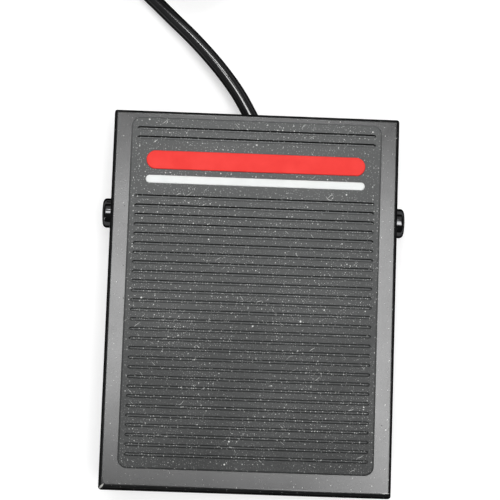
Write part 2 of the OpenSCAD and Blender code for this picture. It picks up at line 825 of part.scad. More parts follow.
module saddle_screws() {
    color(zinc_steel) for (s = [-1, 1])
        translate([saddle_x + s * saddle_screw_x, saddle_y + saddle_l / 2, 0]) {
            translate([0, 0, sole_t]) cylinder(r = saddle_screw_r, h = sheet + saddle_tab_t);
            translate([0, 0, tray_z + saddle_tab_t]) pan_head(2.75, 2, 0.9, 3, 0.7, 1.1);
        }
}

module cord_grommet() {
    color(gloss_black) translate([0, tray_rear, grommet_z]) difference() {
        union() {
            grommet_ring(sheet, 0, grommet_wall - seat_gap);
            grommet_ring(0, -grommet_lip_t, grommet_wall + grommet_lip);
            grommet_ring(sheet + grommet_lip_t, sheet, grommet_wall + grommet_lip);
        }
        rotate([90, 0, 0]) linear_extrude(4 * sheet, center = true) slot(grommet_w, grommet_h);
    }
}

// Oblong slab of the grommet, from one depth in front of the wall's face to another
module grommet_ring(deep, near, wall) {
    translate([0, -near, 0]) rotate([90, 0, 0]) linear_extrude(deep - near)
        slot(grommet_w + 2 * wall, grommet_h + 2 * wall);
}

module cord_entry() {
    color(gloss_black) translate([saddle_x, jacket_end, cord_z]) rotate([-90, 0, 0])
        cylinder(r = cord_d / 2, h = saddle_y + saddle_l - jacket_end);
}

module core_wires() {
    color(stripe_red) tube(curve(core_route(-1, tab_ys[0]), 3), core_r, 8);
    color(stripe_white) tube(curve(core_route(1, tab_ys[1]), 3), core_r, 8);
}

module cord_lead() {
    color(gloss_black) tube(lead_line, cord_d / 2, 10);
}

module cord_coil() {
    color(gloss_black) tube(coil_line, cord_d / 2, 6);
}

module cord_tail() {
    color(gloss_black) tube(tail_line, cord_d / 2, 10);
}

module cord_ties() {
    tie_w = 6;
    tie_t = 0.6;
    tie_angles = [-20, 110];
    tie_gap = 0.4;
    deep = layer_turns * turn_pitch + cord_d + 2 * tie_gap;
    tall = (layers - 1) * turn_pitch + cord_d + tie_gap;
    color(gloss_black) translate([coil_x, coil_y, 0]) for (a = tie_angles)
        rotate([90, 0, a]) translate([coil_mid_r, coil_raise - 0.1 + tall / 2, 0])
            linear_extrude(tie_w, center = true) difference() {
                rounded_rect(deep + 2 * tie_t, tall + 2 * tie_t, 2);
                rounded_rect(deep, tall, 2 - tie_t);
            }
}

// Puts a plug piece that is drawn along X at a distance from the boot's cord end
module on_plug(x) {
    translate([plug_x + x, plug_y, plug_z]) rotate([0, 90, 0]) children();
}

module plug_boot() {
    boot_r0 = cord_d / 2 + 1;
    boot_r1 = handle_d / 2 - 1;
    rib_gaps = 3;
    color(gloss_black) on_plug(0) difference() {
        cylinder(r1 = boot_r0, r2 = boot_r1, h = boot_l);
        for (i = [0 : rib_gaps - 1]) translate([0, 0, 2.5 + 3.4 * i]) difference() {
            cylinder(r = handle_d, h = 1.4);
            translate([0, 0, -over]) cylinder(r = cord_d / 2 + 0.4, h = 1.4 + 2 * over);
        }
    }
}

module plug_handle() {
    grip_flat = 0.5;
    color(gloss_black) on_plug(boot_l) difference() {
        rotate_extrude() {
            square([handle_d / 2, handle_l - 1.2]);
            square([handle_d / 2 - 1.2, handle_l]);
            translate([handle_d / 2 - 1.2, handle_l - 1.2]) circle(1.2);
        }
        for (i = [0 : 4], s = [-1, 1]) translate([s * handle_d / 2, 0, 6 + 3.2 * i])
            translate([-grip_flat, -handle_d, 0]) cube([2 * grip_flat, 2 * handle_d, 1.6]);
    }
}

module plug_sleeve() {
    color(zinc_steel) on_plug(boot_l + handle_l) cylinder(d = plug_d, h = plug_sleeve_l);
}

module plug_ring() {
    color(gloss_black) on_plug(boot_l + handle_l + plug_sleeve_l) cylinder(r = tip_neck_r, h = ring_l);
}

module plug_tip() {
    bulge_r = plug_d / 2 - 0.1;
    waist_r = plug_d / 2 - 1;
    color(zinc_steel) on_plug(boot_l + handle_l + plug_sleeve_l + ring_l) rotate_extrude() polygon([
        [0, 0], [tip_neck_r, 0], [tip_neck_r, 0.9], [waist_r, 2.1], [waist_r, 2.8],
        [bulge_r, 4.5], [1, plug_tip_l - 0.3], [0.6, plug_tip_l], [0, plug_tip_l]
    ]);
}

pedal_cover();
tread_mat();
red_stripe();
white_stripe();
spring_cup();
striker();
base_tray();
sole_pad();
pivot_screws();
pivot_sleeves();
weld_nuts();
return_spring();
spring_seat();
press_buffers();
return_stop();
switch_case();
switch_cap();
switch_lever();
lever_pin();
switch_plunger();
switch_terminals();
switch_bracket();
switch_screws();
switch_nuts();
bracket_rivets();
cord_saddle();
saddle_screws();
cord_grommet();
cord_entry();
core_wires();
cord_lead();
cord_coil();
cord_tail();
cord_ties();
plug_boot();
plug_handle();
plug_sleeve();
plug_ring();
plug_tip();
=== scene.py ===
import math

import bmesh
import bpy
from mathutils import Matrix, Vector


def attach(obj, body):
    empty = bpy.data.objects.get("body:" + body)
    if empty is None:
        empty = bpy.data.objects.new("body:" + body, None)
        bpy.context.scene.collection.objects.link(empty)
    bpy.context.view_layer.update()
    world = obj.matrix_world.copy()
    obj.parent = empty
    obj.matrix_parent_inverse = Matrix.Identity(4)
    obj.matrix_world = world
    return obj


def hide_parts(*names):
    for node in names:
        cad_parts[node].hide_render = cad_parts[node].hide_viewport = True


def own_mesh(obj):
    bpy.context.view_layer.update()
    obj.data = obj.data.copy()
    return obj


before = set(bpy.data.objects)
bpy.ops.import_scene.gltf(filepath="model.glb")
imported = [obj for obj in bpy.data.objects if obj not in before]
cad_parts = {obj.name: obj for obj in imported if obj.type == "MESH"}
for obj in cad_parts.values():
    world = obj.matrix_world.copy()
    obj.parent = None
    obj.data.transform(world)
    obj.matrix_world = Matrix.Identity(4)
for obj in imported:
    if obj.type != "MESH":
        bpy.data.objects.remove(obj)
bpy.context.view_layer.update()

# Lengths below are in millimetres, as on a workshop drawing
MM = 0.001

# Cutters that go right across the part
SLAB = 80
DRILL = 120

# Cover, measured from the hinge axis
HINGE_Y = 23.290358
HINGE_Z = 14.2
TILT = math.radians(5)
COVER = (76.3, 100.5, 19)
COVER_REAR = 27
COVER_TOP = 8.5
SHEET = 1.2
SIDE_FOLD = 1
TOE_FOLD = 1.8

# Tread
TREAD = (66.6, 92.4, 1.8)
TREAD_REAR = 24.9
TREAD_TOP = COVER_TOP + TREAD[2]
TREAD_TOE = -46
TREAD_HEEL = 46
RIB_PITCH = 2.5
GROOVE = (63.4, 0.9, 0.7)
GROOVE_FLOOR = 0.4

# Groups of grooves: how far the first is from the tread's rear edge, and how many
GROOVE_GROUPS = ((2.6, 2), (20.8, 28))

# Coloured bands: width, and place along the tread
BAND_LENGTH = 58
RED_BAND = (5, 13.45)
WHITE_BAND = (2.2, 8.25)
BAND_SUNK = 0.4
BAND_PROUD = 0.5

# Tray
TRAY_WIDTH = 73.1
TRAY_FRONT = HINGE_Y - 71.5
TRAY_REAR = HINGE_Y + 23.2
TRAY_FOLD = 1.6
TRAY_SIDES = 11.5
TRAY_FRONT_WALL = 13.2
TRAY_REAR_WALL = 17.5
EAR = 6
SOLE = 2
SCREW_X = TRAY_WIDTH / 2 + 1.8

# Return spring
SPRING_Y = HINGE_Y - 46.6
SPRING_FOOT = 4.7
SPRING_HEIGHT = 19.05
SPRING_RADIUS = 5.6
SPRING_WIRE = 1.3

# Cord and plug
CORD = 4
COIL = (-24, 118, 2.8)
COIL_START = 225
COIL_PITCH = 4.55
COIL_OUTER = 29.325
COIL_TURNS = 12.125
LAYERS = 4
LAYER_TURNS = 3
PLUG = (-26, 158.5, 5.6)
BOOT = 14
GRIP = 28
GRIP_RADIUS = 5.5
BARREL = 22
COLLAR = 1.2
TIP = 7.3


# Camera

def photo_camera():
    """Lens, place and turn as fitted to the photograph's tread and outlines."""
    lens = bpy.data.cameras.new("photo_camera")
    lens.lens = 93.6
    lens.sensor_width = 36
    lens.clip_start = 0.01
    camera = bpy.data.objects.new("photo_camera", lens)
    bpy.context.scene.collection.objects.link(camera)
    right = Vector((0.99922, 0.03605, 0.01586))
    upward = Vector((-0.0362, 0.9993, 0.00932))
    place = Vector((-6.11, 11.17, 367.4)) * MM
    backward = right.cross(upward).normalized()
    upward = backward.cross(right).normalized()
    turn = Matrix((right.normalized(), upward, backward)).transposed()
    camera.matrix_world = Matrix.Translation(place) @ turn.to_4x4()
    bpy.context.scene.camera = camera


# Handwork: each tool acts on the one piece that is chosen

def choose(piece):
    bpy.ops.object.select_all(action="DESELECT")
    piece.select_set(True)
    bpy.context.view_layer.objects.active = piece


def open_mesh(piece):
    choose(piece)
    bpy.ops.object.mode_set(mode="EDIT")


def close_mesh():
    bpy.ops.object.mode_set(mode="OBJECT")


def pick(piece, kind, wanted):
    bpy.ops.mesh.select_mode(type=kind)
    bpy.ops.mesh.select_all(action="DESELECT")
    mesh = bmesh.from_edit_mesh(piece.data)
    rows = {"VERT": mesh.verts, "EDGE": mesh.edges, "FACE": mesh.faces}
    for item in rows[kind]:
        if wanted(item):
            item.select_set(True)
    bmesh.update_edit_mesh(piece.data)


def near(value, place):
    return abs(value / MM - place) < 0.01


def runs(edge, axis):
    a, b = (v.co for v in edge.verts)
    return abs((b - a).normalized()["XYZ".index(axis)]) > 0.999


def upright(edge):
    return runs(edge, "Z")


def level(edge, height):
    return all(near(v.co.z, height) for v in edge.verts)


def settle(piece):
    choose(piece)
    bpy.ops.object.transform_apply(location=True, rotation=True, scale=True)


def block(name, size, middle):
    bpy.ops.object.select_all(action="DESELECT")
    bpy.ops.mesh.primitive_cube_add(size=1, location=Vector(middle) * MM, scale=Vector(size) * MM)
    piece = bpy.context.active_object
    piece.name = name
    settle(piece)
    return piece


def rod(name, radius, length, middle, along="Z", sides=48):
    turns = {"X": (0, math.pi / 2, 0), "Y": (math.pi / 2, 0, 0), "Z": (0, 0, 0)}
    bpy.ops.object.select_all(action="DESELECT")
    bpy.ops.mesh.primitive_cylinder_add(
        vertices=sides, radius=radius * MM, depth=length * MM,
        location=Vector(middle) * MM, rotation=turns[along],
    )
    piece = bpy.context.active_object
    piece.name = name
    settle(piece)
    return piece


def oblong(name, length, width, height, middle, sides=24):
    """A bar with round ends along X: a rod whose two halves are drawn apart."""
    piece = rod(name, width / 2, height, middle, sides=sides)
    reach = (length - width) / 2
    open_mesh(piece)
    for side in (-1, 1):
        pick(piece, "VERT", lambda v: side * (v.co.x / MM - middle[0]) > 0.001 * width)
        bpy.ops.transform.translate(value=(side * reach * MM, 0, 0))
    close_mesh()
    return piece


def join(pieces):
    bpy.ops.object.select_all(action="DESELECT")
    for piece in pieces:
        piece.select_set(True)
    bpy.context.view_layer.objects.active = pieces[0]
    bpy.ops.object.join()
    return pieces[0]


def apply_last(piece):
    choose(piece)
    bpy.ops.object.modifier_apply(modifier=piece.modifiers[-1].name)


def carve(piece, tool, way="DIFFERENCE", overlapping=False):
    cutter = piece.modifiers.new("carve", "BOOLEAN")
    cutter.operation = way
    cutter.solver = "EXACT"
    cutter.use_self = overlapping
    cutter.object = tool
    apply_last(piece)
    bpy.data.objects.remove(tool)


def thicken(piece, thickness, outwards=False):
    wall = piece.modifiers.new("wall", "SOLIDIFY")
    wall.thickness = thickness * MM
    wall.offset = 1 if outwards else -1
    wall.use_even_offset = True
    apply_last(piece)


def soften(piece, width, angle):
    """Rounds every edge that is sharper than an angle."""
    edge = piece.modifiers.new("soften", "BEVEL")
    edge.width = width * MM
    edge.segments = 2
    edge.limit_method = "ANGLE"
    edge.angle_limit = math.radians(angle)
    apply_last(piece)


def smooth(piece, angle=35):
    choose(piece)
    bpy.ops.object.shade_smooth_by_angle(angle=math.radians(angle))
    weigh = piece.modifiers.new("weigh", "WEIGHTED_NORMAL")
    weigh.keep_sharp = True
    apply_last(piece)


def turned(name, profile, sides=48):
    """A lathe piece: points of radius and height, spun round Z."""
    bpy.ops.object.select_all(action="DESELECT")
    bpy.ops.mesh.primitive_plane_add(size=2 * MM)
    piece = bpy.context.active_object
    piece.name = name
    open_mesh(piece)
    pick(piece, "VERT", lambda v: v.co.x < 0 or v.co.y < 0)
    bpy.ops.mesh.delete(type="VERT")
    bpy.ops.mesh.select_all(action="SELECT")
    first = Vector((profile[0][0], 0, profile[0][1]))
    bpy.ops.transform.translate(value=first * MM - Vector((MM, MM, 0)))
    for (r0, z0), (r1, z1) in zip(profile, profile[1:]):
        step = ((r1 - r0) * MM, 0, (z1 - z0) * MM)
        bpy.ops.mesh.extrude_vertices_move(TRANSFORM_OT_translate={"value": step})
    bpy.ops.mesh.select_all(action="SELECT")
    bpy.ops.mesh.spin(steps=sides, angle=2 * math.pi, center=(0, 0, 0), axis=(0, 0, 1))
    bpy.ops.mesh.select_all(action="SELECT")
    bpy.ops.mesh.remove_doubles(threshold=0.002 * MM)
    bpy.ops.mesh.normals_make_consistent(inside=False)
    close_mesh()
    return piece


def lay(piece, place, side=1):
    """Puts a lathe piece's foot at a place, with its axis along X to one side."""
    piece.location = Vector(place) * MM
    piece.rotation_euler = (0, side * math.pi / 2, 0)
    settle(piece)


def seat_on_cover(piece):
    """Takes a piece that was made round the hinge axis to the cover's rest slope."""
    piece.location = Vector((0, HINGE_Y, HINGE_Z)) * MM
    piece.rotation_euler = (-TILT, 0, 0)
    settle(piece)


def wire(name, points, radius, rounding):
    """A round wire or cord along a line of points."""
    path = bpy.data.curves.new(name, "CURVE")
    path.dimensions = "3D"
    path.bevel_depth = radius * MM
    path.bevel_resolution = rounding
    path.use_fill_caps = True
    spline = path.splines.new("POLY")
    spline.points.add(len(points) - 1)
    for point, place in zip(spline.points, points):
        point.co = (*(place * MM), 1)
    spline.use_smooth = True
    piece = bpy.data.objects.new(name, path)
    bpy.context.scene.collection.objects.link(piece)
    return piece


def finished(piece, body, nodes, material):
    piece.data.materials.clear()
    piece.data.materials.append(material)
    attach(piece, body)
    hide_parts(*nodes)


# Finishes

def finish(name, colour, roughness, **sockets):
    made = bpy.data.materials.new(name)
    made.use_nodes = True
    shader = made.node_tree.nodes["Principled BSDF"]
    shader.inputs["Base Color"].default_value = (*colour, 1)
    shader.inputs["Roughness"].default_value = roughness
    for socket, value in sockets.items():
        shader.inputs[socket.replace("_", " ")].default_value = value
    return made


def add(made, kind, values=None, **settings):
    node = made.node_tree.nodes.new("ShaderNode" + kind)
    for key, value in settings.items():
        setattr(node, key, value)
    for key, value in (values or {}).items():
        node.inputs[key].default_value = value
    return node


def link(made, source, target):
    made.node_tree.links.new(source, target)


def surface(made, turn=(0, 0, 0)):
    """The piece's own coordinates, turned for a pattern."""
    place = add(made, "TexCoord")
    mapping = add(made, "Mapping", {"Rotation": turn})
    link(made, place.outputs["Object"], mapping.inputs["Vector"])
    return mapping.outputs["Vector"]


def speckle(made, place, size, detail=3.0):
    """Noise whose blots are about a size in millimetres."""
    noise = add(made, "TexNoise", {"Scale": 1 / (size * MM), "Detail": detail, "Roughness": 0.55})
    link(made, place, noise.inputs["Vector"])
    return noise.outputs["Fac"]


def ramp(made, source, low, high, to_low=0.0, to_high=1.0):
    scale = add(made, "MapRange", {1: low, 2: high, 3: to_low, 4: to_high}, clamp=True)
    link(made, source, scale.inputs[0])
    return scale.outputs[0]


def times(made, a, b):
    node = add(made, "Math", operation="MULTIPLY")
    for source, socket in ((a, node.inputs[0]), (b, node.inputs[1])):
        if isinstance(source, float):
            socket.default_value = source
        else:
            link(made, source, socket)
    return node.outputs[0]


def most(made, a, b):
    node = add(made, "Math", operation="MAXIMUM")
    link(made, a, node.inputs[0])
    link(made, b, node.inputs[1])
    return node.outputs[0]


def blend(made, share, a, b):
    """Colour between two tones, each a tuple or a socket."""
    node = add(made, "Mix", data_type="RGBA", clamp_factor=True)
    link(made, share, node.inputs[0])
    for source, socket in ((a, node.inputs[6]), (b, node.inputs[7])):
        if isinstance(source, tuple):
            socket.default_value = (*source, 1)
        else:
            link(made, source, socket)
    return node.outputs[2]


def into(made, socket, source):
    shader = made.node_tree.nodes["Principled BSDF"]
    link(made, source, shader.inputs[socket])


def emboss(made, heights, strength, depth):
    """Small relief on the surface, its depth in millimetres."""
    bump = add(made, "Bump", {"Strength": strength, "Distance": depth * MM})
    link(made, heights, bump.inputs["Height"])
    into(made, "Normal", bump.outputs["Normal"])


def split(made, source):
    """The three parts of a place or a direction."""
    node = add(made, "SeparateXYZ")
    link(made, source, node.inputs[0])
    return node.outputs


def facing(made):
    """Which way the piece's own surface looks."""
    return split(made, add(made, "TexCoord").outputs["Normal"])


def dull_rims(made, gloss, start=0.3, full=0.65, folds=None):
    """Gloss that fades where the surface is seen on edge, and sooner on folds."""
    fold_start, fold_full = 0.12, 0.3
    slant = add(made, "LayerWeight", {"Blend": 0.5}).outputs["Facing"]
    rim = ramp(made, slant, start, full)
    if folds:
        rim = most(made, rim, times(made, ramp(made, slant, fold_start, fold_full), folds))
    into(made, "Metallic", rim)
    into(made, "Roughness", most(made, gloss, rim))


def streak(made, place, middle, angle, length, width):
    """A streak mask with soft ends, its size in millimetres, used for painted highlights."""
    reach = (length / 2 * MM, width / 2 * MM, 1000)
    own = add(made, "Mapping", {"Location": Vector(middle) * MM, "Rotation": (0, 0, angle), "Scale": reach},
              vector_type="TEXTURE")
    link(made, place, own.inputs["Vector"])
    away = add(made, "VectorMath", operation="LENGTH")
    link(made, own.outputs["Vector"], away.inputs[0])
    return ramp(made, away.outputs["Value"], 0.6, 1.15, 1.0, 0.0)


def threads(made, angle, cell, share, width):
    """Lint: short bent hairs that lie one way, of a width in millimetres."""
    place = add(made, "TexCoord").outputs["Object"]
    wave = add(made, "TexNoise", {"Scale": 1 / (2.2 * MM), "Detail": 1.0})
    link(made, place, wave.inputs["Vector"])
    sway = add(made, "VectorMath", operation="MULTIPLY_ADD")
    link(made, wave.outputs["Color"], sway.inputs[0])
    sway.inputs[1].default_value = (1.3 * MM, 1.3 * MM, 0)
    link(made, place, sway.inputs[2])
    lie = add(made, "Mapping", {"Rotation": (-TILT, 0, angle), "Scale": (16, 1, 1)},
              vector_type="TEXTURE")
    link(made, sway.outputs[0], lie.inputs["Vector"])
    return specks(made, lie.outputs["Vector"], cell, share, width / 2, width * 0.7)


def specks(made, place, cell, share, least, largest):
    """Dust grains: one in a share of the cells, of a radius in millimetres."""
    cells = add(made, "TexVoronoi", {"Scale": 1 / (cell * MM), "Randomness": 1.0},
                voronoi_dimensions="2D")
    link(made, place, cells.inputs["Vector"])
    lot = add(made, "SeparateColor")
    link(made, cells.outputs["Color"], lot.inputs[0])
    there = add(made, "Math", {1: share}, operation="LESS_THAN")
    link(made, lot.outputs[0], there.inputs[0])
    radius = ramp(made, lot.outputs[1], 0, 1, least / cell, largest / cell)
    gap = add(made, "Math", operation="DIVIDE")
    link(made, cells.outputs["Distance"], gap.inputs[0])
    link(made, radius, gap.inputs[1])
    grain = ramp(made, gap.outputs[0], 0.6, 1.1, 1.0, 0.0)
    return times(made, grain, there.outputs[0])


def satin_paint():
    """Baked black paint on sheet steel: fine orange peel, pits, a little dust, and painted highlights at
    the two front corners.
    """
    made = finish("satin_paint", (0.006, 0.0062, 0.0064), 0.22, IOR=1.5)
    flat = surface(made, turn=(TILT, 0, 0))
    rise = facing(made)[2]
    upward = ramp(made, rise, 0.7, 0.95)
    folds = times(made, ramp(made, rise, 0.15, 0.3), ramp(made, rise, 0.9, 0.98, 1.0, 0.0))
    cloud = ramp(made, speckle(made, flat, 14), 0.3, 0.7, 0.20, 0.25)
    pits = times(made, specks(made, flat, 7, 0.3, 0.10, 0.17), upward)
    dull_rims(made, most(made, cloud, pits), folds=folds)
    grey = ramp(made, speckle(made, flat, 6), 0.35, 0.7)
    paint = blend(made, grey, (0.004, 0.0042, 0.0044), (0.008, 0.0082, 0.0084))
    grains = most(made, specks(made, flat, 3.0, 0.45, 0.06, 0.15),
                  times(made, specks(made, flat, 1.2, 0.4, 0.04, 0.09), 0.5))
    # Two pale streaks where the folds meet at the front corners are painted highlights.
    toe = COVER_REAR - COVER[1] + HINGE_Y * math.cos(TILT) - HINGE_Z * math.sin(TILT)
    beside = COVER[0] / 2
    left_highlight = streak(made, flat, (0.8 - beside, toe + 0.95, 0), math.radians(50), 2.0, 0.55)
    right_highlight = streak(made, flat, (beside - 1.5, toe + 1.6, 0), math.radians(2), 2.6, 0.35)
    painted_highlights = most(made, left_highlight, times(made, right_highlight, 0.5))
    # The pale mask mixed into the paint holds the dust grains and the painted highlights.
    dust = most(made, times(made, grains, upward), painted_highlights)
    into(made, "Base Color", blend(made, dust, paint, (0.5, 0.5, 0.48)))
    emboss(made, speckle(made, flat, 0.7, 2.0), 0.3, 0.004)
    return made


def tread_rubber():
    """Moulded grey rubber: matt grain, dust and lint, with painted shade darkening it towards the toe and
    on the groove walls, and painted light on the groove floors.
    """
    made = finish("tread_rubber", (0.04, 0.042, 0.042), 0.42, Specular_IOR_Level=0.15)
    flat = surface(made, turn=(TILT, 0, 0))
    lie = split(made, flat)
    look = facing(made)
    upward = ramp(made, look[2], 0.75, 0.95)
    heelward = ramp(made, lie[1], TREAD_TOE * MM, TREAD_HEEL * MM)
    scuff = ramp(made, speckle(made, flat, 22, 4.0), 0.35, 0.7)
    # The rubber is painted darker towards the toe: painted shade, not a change in the rubber.
    rubber = blend(made, heelward, (0.014, 0.015, 0.015), (0.094, 0.097, 0.0965))
    rubber = blend(made, times(made, scuff, 0.25), rubber, (0.085, 0.088, 0.0875))
    grain = ramp(made, speckle(made, flat, 0.45, 3.0), 0.3, 0.7, 0.0, 0.3)
    rubber = blend(made, grain, rubber, (0.095, 0.098, 0.0975))

    face = HINGE_Y * math.sin(TILT) + HINGE_Z * math.cos(TILT) + TREAD_TOP
    # Groove floors are lifted towards a paler grey, more so towards the heel: painted light that offsets
    # the shade in the grooves.
    sunk = ramp(made, lie[2], (face - 0.6) * MM, (face - 0.25) * MM, 1.0, 0.0)
    sunk = times(made, sunk, ramp(made, heelward, 0.3, 0.8, 0.18, 0.4))
    rubber = blend(made, sunk, rubber, (0.16, 0.165, 0.164))
    # Groove walls are painted near black: painted shade, on toe-facing walls mostly towards the heel and on
    # heel-facing walls faintly towards the toe.
    front_wall_shade = times(made, ramp(made, look[1], -0.6, -0.25, 1.0, 0.0),
                        ramp(made, heelward, 0.4, 0.75, 0.15, 1.0))
    rear_wall_shade = times(made, ramp(made, look[1], 0.4, 0.8), ramp(made, heelward, 0.4, 0.7, 0.12, 0.0))
    groove_wall_shade = most(made, front_wall_shade, rear_wall_shade)
    rubber = blend(made, groove_wall_shade, rubber, (0.003, 0.0031, 0.0031))

    drift = times(made, ramp(made, speckle(made, flat, 11, 3.0), 0.4, 0.6, 0.4, 1.0),
                  ramp(made, heelward, 0.2, 0.6, 0.75, 1.0))
    large = specks(made, flat, 6, 0.25, 0.14, 0.28)
    middling = times(made, specks(made, flat, 1.35, 0.45, 0.07, 0.18), drift)
    small = times(made, specks(made, flat, 0.62, 0.65, 0.05, 0.11), times(made, drift, 0.6))
    low = ramp(made, lie[2], (face - 0.35) * MM, (face - 0.1) * MM, 1.0, 0.0)
    low = times(made, low, ramp(made, heelward, 0.3, 0.8, 0.9, 0.4))
    lodged = times(made, specks(made, flat, 0.65, 0.45, 0.06, 0.16), low)
    hairs = most(made, threads(made, 0.6, 1.9, 0.28, 0.11), threads(made, 2.3, 2.1, 0.28, 0.10))
    dust = most(made, most(made, large, middling), most(made, small, times(made, hairs, 0.6)))
    dust = most(made, times(made, dust, upward), lodged)
    into(made, "Base Color", blend(made, dust, rubber, (0.68, 0.69, 0.67)))
    into(made, "Roughness", ramp(made, scuff, 0, 1, 0.46, 0.38))
    emboss(made, speckle(made, flat, 0.16, 2.0), 0.4, 0.012)
    return made


def plain_rubber():
    made = finish("plain_rubber", (0.045, 0.046, 0.047), 0.75, Specular_IOR_Level=0.35)
    own = surface(made)
    wear = ramp(made, speckle(made, own, 9, 4.0), 0.35, 0.7)
    into(made, "Base Color", blend(made, wear, (0.038, 0.039, 0.040), (0.066, 0.067, 0.066)))
    into(made, "Roughness", ramp(made, wear, 0, 1, 0.7, 0.84))
    emboss(made, speckle(made, own, 0.25, 2.0), 0.5, 0.02)
    return made


def inlay(name, tone, worn):
    """Coloured rubber let into the tread."""
    made = finish(name, tone, 0.6, Specular_IOR_Level=0.15)
    flat = surface(made, turn=(TILT, 0, 0))
    shade = ramp(made, speckle(made, flat, 5, 3.0), 0.3, 0.7)
    into(made, "Base Color", blend(made, shade, tone, worn))
    into(made, "Roughness", ramp(made, shade, 0, 1, 0.56, 0.68))
    emboss(made, speckle(made, flat, 0.3, 2.0), 0.3, 0.01)
    return made


def metal(name, bright, dull, low, high):
    """Bare or plated metal with cloudy tarnish and fine pitting."""
    made = finish(name, bright, low, Metallic=1.0)
    own = surface(made)
    cloud = ramp(made, speckle(made, own, 3.5, 4.0), 0.35, 0.7)
    into(made, "Base Color", blend(made, cloud, bright, dull))
    into(made, "Roughness", ramp(made, cloud, 0, 1, low, high))
    emboss(made, speckle(made, own, 0.12, 2.0), 0.25, 0.004)
    return made


def black_zinc():
    """Gloss black plating on the hinge screws."""
    made = finish("black_zinc", (0.05, 0.05, 0.05), 0.14, Metallic=1.0,
                  Specular_Tint=(0, 0, 0, 1))
    own = surface(made)
    cloud = ramp(made, speckle(made, own, 1.6, 3.0), 0.35, 0.7)
    into(made, "Base Color", blend(made, cloud, (0.045, 0.045, 0.047), (0.06, 0.06, 0.06)))
    into(made, "Roughness", ramp(made, cloud, 0, 1, 0.08, 0.16))
    emboss(made, speckle(made, own, 0.3, 2.0), 0.2, 0.002)
    return made


def moulding(name, tone, worn, low, high):
    """Moulded plastic with a fine sparked grain."""
    made = finish(name, tone, low)
    own = surface(made)
    cloud = ramp(made, speckle(made, own, 4, 3.0), 0.3, 0.7)
    into(made, "Base Color", blend(made, cloud, tone, worn))
    into(made, "Roughness", ramp(made, cloud, 0, 1, low, high))
    emboss(made, speckle(made, own, 0.18, 2.0), 0.4, 0.01)
    return made


def cord_jacket():
    """Gloss black vinyl, a little uneven."""
    made = finish("cord_jacket", (0.012, 0.012, 0.0125), 0.2, IOR=1.6)
    own = surface(made)
    cloud = ramp(made, speckle(made, own, 5, 3.0), 0.3, 0.7)
    into(made, "Base Color", blend(made, cloud, (0.010, 0.010, 0.0104), (0.015, 0.015, 0.0155)))
    dull_rims(made, ramp(made, cloud, 0, 1, 0.08, 0.13), 0.12, 0.4)
    emboss(made, speckle(made, own, 0.8, 2.0), 0.15, 0.008)
    return made


def strap_pile():
    """Loop pile of a cord strap: short tufts."""
    made = finish("strap_pile", (0.03, 0.03, 0.031), 0.9, Sheen_Weight=0.3)
    own = surface(made)
    tufts = add(made, "TexVoronoi", {"Scale": 1 / (0.45 * MM)})
    link(made, own, tufts.inputs["Vector"])
    tuft = ramp(made, tufts.outputs["Distance"], 0, 0.8, 1.0, 0.0)
    # Tuft middles are lighter and the gaps between tufts darker: painted shade between the tufts.
    into(made, "Base Color", blend(made, tuft, (0.014, 0.014, 0.015), (0.05, 0.05, 0.052)))
    emboss(made, tuft, 0.9, 0.12)
    return made


# Cover and tread

def pan_block(name, size, middle, corner, side, front, rear):
    """Block with round upright corners, less what its rounded long and cross sections leave out."""
    width, length, depth = size
    top = middle[2] + depth / 2
    piece = block(name, size, middle)
    open_mesh(piece)
    pick(piece, "EDGE", upright)
    bpy.ops.mesh.bevel(offset=corner * MM, segments=8, affect="EDGES")
    close_mesh()
    across = block("cross_section", (width, length + 2, depth), middle)
    open_mesh(across)
    pick(across, "EDGE", lambda e: runs(e, "Y") and level(e, top))
    bpy.ops.mesh.bevel(offset=side * MM, segments=10, affect="EDGES")
    close_mesh()
    carve(piece, across, "INTERSECT")
    along = block("long_section", (width + 2, length, depth), middle)
    open_mesh(along)
    for end, radius in ((-1, front), (1, rear)):
        edge_y = middle[1] + end * length / 2
        pick(along, "EDGE",
             lambda e: runs(e, "X") and level(e, top) and near(e.verts[0].co.y, edge_y))
        bpy.ops.mesh.bevel(offset=radius * MM, segments=12, affect="EDGES")
    close_mesh()
    carve(piece, along, "INTERSECT")
    return piece


def dress_mitres(piece):
    """Rounds the corners where the side folds meet the front and rear folds."""
    def mitre(edge):
        middle = (edge.verts[0].co + edge.verts[1].co) / 2 / MM
        beside = COVER[0] / 2 - abs(middle.x)
        astern = min(COVER_REAR - middle.y, middle.y - COVER_REAR + COVER[1])
        below = COVER_TOP - middle.z
        return (beside < TOE_FOLD and astern < TOE_FOLD and 0.01 < below < TOE_FOLD
                and edge.is_manifold and edge.calc_face_angle() > math.radians(20))

    rounding = 0.6
    open_mesh(piece)
    pick(piece, "EDGE", mitre)
    bpy.ops.mesh.bevel(offset=rounding * MM, segments=4, affect="EDGES", clamp_overlap=True)
    close_mesh()


